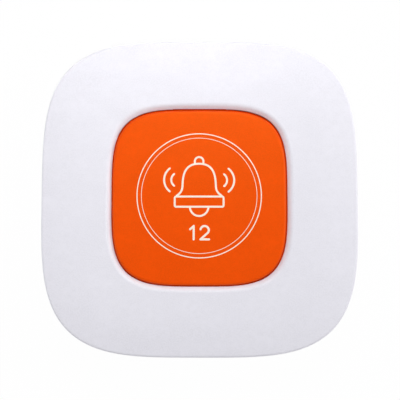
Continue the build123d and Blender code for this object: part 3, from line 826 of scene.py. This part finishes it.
def metal(name, colour, roughness, brushed=(1.0, 12.0, 1.0)):
    """Sheet or turned metal with fine scratches and slight staining."""
    nodes = Nodes(name)
    scratches = nodes.noise(SCRATCH_MM, detail=4.0, stretch=brushed)
    stain = nodes.noise(STAIN_MM, detail=3.0)
    stained = nodes.mix(nodes.ramp(stain, 0, 1), toned(colour, STAIN_TONE), colour)
    nodes.normal(scratches, depth_mm=0.004, edge_mm=0.06)
    smooth, rough = (roughness + part for part in METAL_SPREAD)
    return nodes.finish(stained, nodes.ramp(scratches, smooth, rough), metallic=1.0)


BOARD_ROUGHNESS = (0.28, 0.4)
TRACKS_PER_M = 420.0
TRACK_GAP = 0.08
WEAVE_MM = 0.5
WEAVE_SHARE = 0.35
TRACK_TONE = (1.7, 0.01)
WEAVE_TONE = 0.7


def circuit_green(name, colour):
    """Solder mask over copper: a pattern of tracks shows through as paler lines."""
    nodes = Nodes(name)
    white, black = (1, 1, 1, 1), (0, 0, 0, 1)
    brick = nodes.add("ShaderNodeTexBrick", Scale=TRACKS_PER_M, Mortar_Size=TRACK_GAP)
    for socket, value in (("Color1", white), ("Color2", white), ("Mortar", black)):
        brick.inputs[socket].default_value = value
    nodes.join(nodes.place, brick.inputs["Vector"])
    weave = nodes.noise(WEAVE_MM)
    tracks = nodes.mix(brick.outputs["Fac"], colour, toned(colour, *TRACK_TONE))
    woven = nodes.mix(nodes.ramp(weave, 0, WEAVE_SHARE), tracks, toned(colour, WEAVE_TONE))
    nodes.normal(brick.outputs["Fac"], depth_mm=0.02, edge_mm=0.05)
    return nodes.finish(woven, nodes.ramp(weave, *BOARD_ROUGHNESS))


RUBBER_GRAIN_MM = 0.12
DUST_MM = 1.6
DUST_RANGE = (0.5, 0.8)
DUST_SHARE = 0.6
DUST_TONE = (0.8, 0.03)
RUBBER_SPREAD = 0.08  # of the roughness
SOFT_SPECULAR = 0.3


def soft_rubber(name, colour, roughness, coat=0.0):
    """Rubber or silicone: matte skin with a fine moulded grain and pale dust."""
    nodes = Nodes(name)
    grain = nodes.noise(RUBBER_GRAIN_MM, detail=3.0)
    dust = nodes.ramp(nodes.noise(DUST_MM, detail=4.0), 0, DUST_SHARE, DUST_RANGE)
    dusty = nodes.mix(dust, colour, toned(colour, *DUST_TONE))
    nodes.normal(grain, depth_mm=0.01, edge_mm=0.1)
    nodes.shader.inputs["Coat Weight"].default_value = coat
    rough = nodes.ramp(grain, roughness - RUBBER_SPREAD, roughness + RUBBER_SPREAD)
    return nodes.finish(dusty, rough, specular=SOFT_SPECULAR)


INK_ROUGHNESS = (0.42, 0.55)
INK_COVER_MM = 0.18
THIN_INK_TONE = 0.97


def printing_ink(name, colour):
    """Screen-printed cream ink: slightly uneven cover."""
    nodes = Nodes(name)
    cover = nodes.noise(INK_COVER_MM, detail=3.0)
    inked = nodes.mix(nodes.ramp(cover, 0, 1), toned(colour, THIN_INK_TONE), colour)
    nodes.normal(cover, depth_mm=0.004)
    return nodes.finish(inked, nodes.ramp(cover, *INK_ROUGHNESS), specular=SOFT_SPECULAR)


MATERIALS = {name: moulded(name, *values) for name, values in PLASTICS.items()}
MATERIALS["black_rubber"] = soft_rubber("black_rubber", (0.025, 0.025, 0.027), 0.75)
MATERIALS["clear_silicone"] = soft_rubber("clear_silicone", (0.62, 0.63, 0.62), 0.45, coat=0.1)
MATERIALS["zinc_steel"] = metal("zinc_steel", (0.62, 0.62, 0.6), 0.34)
MATERIALS["nickel_steel"] = metal("nickel_steel", (0.66, 0.65, 0.62), 0.28)
MATERIALS["tinned_brass"] = metal("tinned_brass", (0.74, 0.73, 0.7), 0.32, brushed=(8.0, 1.0, 1.0))
MATERIALS["green_board"] = circuit_green("green_board", (0.015, 0.16, 0.06))
INK = printing_ink("printing_ink", (1.0, 0.88, 0.74))

# ---- Pieces -------------------------------------------------------------------------------------


def dress(piece, body, slot=None, replaced=()):
    """Gives a piece its material, its body and the CAD nodes that it stands for. Ink has no slot."""
    piece.data.name = piece.name
    piece.data.materials.clear()
    piece.data.materials.append(MATERIALS[slot] if slot else INK)
    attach(piece, body)
    if replaced:
        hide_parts(*replaced)


def add_piece(name, fill, body, slot=None, replaced=(), joined=(), cut=()):
    """Piece from a function that fills a bmesh, with other bodies joined to it and cut away."""
    piece = make_object(name, fill)
    for other in joined:
        combine(piece, "UNION", other)
    for other in cut:
        combine(piece, "DIFFERENCE", other)
    shade(piece)
    dress(piece, body, slot, replaced)


def soft_copy(name, node_name, slot):
    """Copy of a CAD node, which hides and stands in for it."""
    piece = bpy.data.objects.new(name, frame["nodes"][node_name].data.copy())
    bpy.context.collection.objects.link(piece)
    dress(piece, "housing", slot, [node_name])
    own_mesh(piece)


for subpart in frame["record"]["subparts"]:
    node = frame["nodes"][subpart["node"]]
    if not node.material_slots:
        node.data.materials.append(None)
    for material_slot in node.material_slots:
        material_slot.material = MATERIALS[subpart["material_slot"]]

cover_bodies = (cover_frame, cover_ribs, cover_bosses)
add_piece("cover", cover_skin, "housing", "white_plastic", ["top_cover"], cover_bodies)
base_cuts = (base_screw_holes, base_notches, base_tracks)
add_piece("base", base_skin, "housing", "white_plastic", ["base_shell"], (base_posts,), base_cuts)
add_piece("foot_pads", foot_pads, "housing", "black_rubber", ["rubber_feet"])
cap_bodies = (cap_plunger, cap_tabs, cap_rib, cap_cross_rib)
add_piece("cap", cap_skin, "button", "orange_plastic", ["button_cap"], cap_bodies)
add_piece("print_rings", print_rings, "button")
add_piece("print_bell", bell_body, "button", joined=(bell_handle, bell_band, bell_clapper, sound_arcs))
add_piece("print_digit_1", digit_one, "button", joined=(digit_one_flag,))
add_piece("print_digit_2", digit_two, "button", joined=(digit_two_foot,))
add_piece("door_marks", door_marks, "door", "white_plastic")
add_piece("base_marks", base_marks, "housing", "white_plastic")
soft_copy("membrane", "key_membrane", "clear_silicone")
soft_copy("snap_leaf", "switch_dome", "nickel_steel")

# ---- Studio, in metres --------------------------------------------------------------------------

FLOOR_SIZE = 3.0
FLOOR_SEGMENTS = 8
FLOOR_LEVEL = -0.00005  # just under the feet
FLOOR_GREY = (0.9, 0.9, 0.9, 1)
FLOOR_ROUGHNESS = 0.9
SHADE_PATCH_EDGE = (29.0 * MM, 38.0 * MM)  # the patch of painted shade, with the real contact shadow in it, fades between these distances from the middle
SHADE_PATCH_EXPONENT = 4.0
# Share of the floor's own light in its looks: low in a patch of painted shade under the object, over which
# its real contact shadow shows, and high round it
WHITE_SHARES = (0.1, 0.98)  # as the camera and reflections see it
GLOW_SHARES = (0.5, 1.0)  # as the object sees it
SKY_COLOUR = (0.985, 0.985, 1.0, 1)
SKY_STRENGTH = 0.463
WHITE = (1, 1, 1, 1)
AIM = (0, 0, 0.018)
LAMPS = {  # place, aim, width of the square, power in watts, and spread, where a small one is a grid
    "key_lamp": ((0.02, 0.14, 0.2), AIM, 0.16, 0.257, math.pi),
    "top_lamp": ((-0.008, 0.07, 0.5), (-0.008, 0.07, 0.0), 0.06, 0.0036, 0.25),
    "side_lamp": ((1.2, 0.2, 0.55), AIM, 0.5, 5.2, math.pi),
    "card_lamp": ((-0.13, 0.0, 0.09), AIM, 0.06, 0.0197, math.pi),
}
CAMERA_TILT = math.radians(3.57)  # towards the guest, from straight above
CAMERA_TURN = math.radians(0.33)  # to the right
CAMERA_DISTANCE = 0.135
VIEW_WIDTH = 0.08786
FRAME_SHIFT = (0.00153, -0.00733)
SENSOR_WIDTH = 36.0  # millimetres, as Blender wants it


def seen_directly(tree):
    """Socket that is 1 for camera, glossy and transmission rays."""
    rays = tree.nodes.new("ShaderNodeLightPath").outputs
    camera_or_glossy = math_value(tree, "MAXIMUM", rays["Is Camera Ray"], rays["Is Glossy Ray"])
    return math_value(tree, "MAXIMUM", camera_or_glossy, rays["Is Transmission Ray"])


def outside_shade_patch(tree):
    """Socket that is 0 on the floor under the object, in a patch of painted shade where its real contact
    shadow also lies, and 1 round it.
    """
    parts = tree.nodes.new("ShaderNodeSeparateXYZ")
    tree.links.new(tree.nodes.new("ShaderNodeTexCoord").outputs["Object"], parts.inputs[0])
    powers = [math_value(tree, "POWER", parts.outputs[name], SHADE_PATCH_EXPONENT) for name in "XY"]
    distance = math_value(tree, "POWER", math_value(tree, "ADD", *powers), 1 / SHADE_PATCH_EXPONENT)
    return map_value(tree, distance, SHADE_PATCH_EDGE, (0, 1), "SMOOTHSTEP")


def fill_floor(bm):
    """Square floor, divided so that it isn't one face."""
    bmesh.ops.create_grid(bm, x_segments=FLOOR_SEGMENTS, y_segments=FLOOR_SEGMENTS, size=FLOOR_SIZE / 2)


def floor_paper():
    """White paper with light of its own, clear from below; under the object its light is cut to painted
    shade, in which the real contact shadow shows.
    """
    material = bpy.data.materials.new("floor_paper")
    material.use_nodes = True
    tree = material.node_tree
    paper = tree.nodes["Principled BSDF"]
    paper.inputs["Base Color"].default_value = FLOOR_GREY
    paper.inputs["Roughness"].default_value = FLOOR_ROUGHNESS
    paper.inputs["Specular IOR Level"].default_value = 0.0
    glow = tree.nodes.new("ShaderNodeEmission")
    glow.inputs["Strength"].default_value = 1.0
    beyond_shade_patch = outside_shade_patch(tree)
    # Under the object the floor glows less: painted shade for the camera, and less light from below for the
    # object
    shares = [map_value(tree, beyond_shade_patch, (0, 1), pair) for pair in (GLOW_SHARES, WHITE_SHARES)]
    share = map_value(tree, seen_directly(tree), (0, 1), shares)
    lit = mix_shaders(tree, share, paper.outputs[0], glow.outputs[0])
    clear = tree.nodes.new("ShaderNodeBsdfTransparent")
    below = tree.nodes.new("ShaderNodeNewGeometry").outputs["Backfacing"]
    one_sided = mix_shaders(tree, below, lit, clear.outputs[0])
    tree.links.new(one_sided, tree.nodes["Material Output"].inputs["Surface"])
    return material


def studio_world():
    """Soft pale sky on the object, and plain white where the camera or a reflection sees it."""
    world = bpy.data.worlds.new("studio")
    world.use_nodes = True
    tree = world.node_tree
    sky = tree.nodes["Background"]
    sky.inputs["Color"].default_value = SKY_COLOUR
    sky.inputs["Strength"].default_value = SKY_STRENGTH
    white = tree.nodes.new("ShaderNodeBackground")
    white.inputs["Color"].default_value = WHITE
    white.inputs["Strength"].default_value = 1.0
    blend = mix_shaders(tree, seen_directly(tree), sky.outputs[0], white.outputs[0])
    tree.links.new(blend, tree.nodes["World Output"].inputs["Surface"])
    return world


def soft_box(name, place, aim, width, power, spread):
    """Square lamp at a place, pointed at aim."""
    lamp = bpy.data.lights.new(name, "AREA")
    lamp.size = width
    lamp.energy = power
    lamp.spread = spread
    box = bpy.data.objects.new(name, lamp)
    bpy.context.collection.objects.link(box)
    box.location = place
    box.rotation_mode = "QUATERNION"
    box.rotation_quaternion = (Vector(aim) - Vector(place)).to_track_quat("-Z", "Y")


def photo_camera():
    """Camera of the photo, almost straight above the button."""
    camera = bpy.data.objects.new("camera", bpy.data.cameras.new("camera"))
    bpy.context.collection.objects.link(camera)
    facing = Matrix.Rotation(CAMERA_TURN, 3, "Y") @ Matrix.Rotation(CAMERA_TILT, 3, "X")
    camera.location = Vector(AIM) + facing @ Vector((0, 0, CAMERA_DISTANCE))
    camera.rotation_mode = "QUATERNION"
    camera.rotation_quaternion = facing.to_quaternion()
    camera.data.sensor_width = SENSOR_WIDTH
    camera.data.lens = SENSOR_WIDTH * CAMERA_DISTANCE / VIEW_WIDTH
    camera.data.shift_x, camera.data.shift_y = FRAME_SHIFT
    return camera


floor = make_object("floor", fill_floor)
floor.location.z = FLOOR_LEVEL
floor.data.materials.append(floor_paper())

for lamp_name, lamp_values in LAMPS.items():
    soft_box(lamp_name, *lamp_values)

bpy.context.scene.world = studio_world()
bpy.context.scene.camera = photo_camera()
bpy.context.scene.view_settings.view_transform = "Standard"
